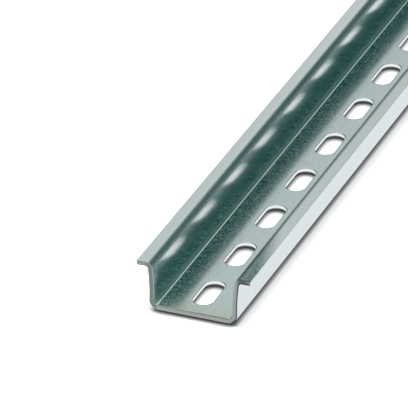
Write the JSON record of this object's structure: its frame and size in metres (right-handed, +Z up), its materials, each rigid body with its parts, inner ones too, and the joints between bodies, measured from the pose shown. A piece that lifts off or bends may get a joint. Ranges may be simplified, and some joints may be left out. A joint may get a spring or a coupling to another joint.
{
  "type": "din rail",
  "caption": "Top-hat mounting rail, 35 mm wide and 15 mm high, rolled from slotted zinc-plated steel strip for clip-on electrical devices.",
  "frame": {"origin": "underside of the base, midway along the rail and midway across it", "axes": "+Z up from the base to the flanges, Y along the rail, X across it"},
  "size_m": [0.035, 1, 0.015],
  "materials": {
    "zinc_plated_steel": "bright zinc plating with a clear blue-green passivation; smooth webs, grainy base, sheared ends"
  },
  "bodies": {
    "root": {"rail": "zinc_plated_steel"}
  },
  "joints": []
}
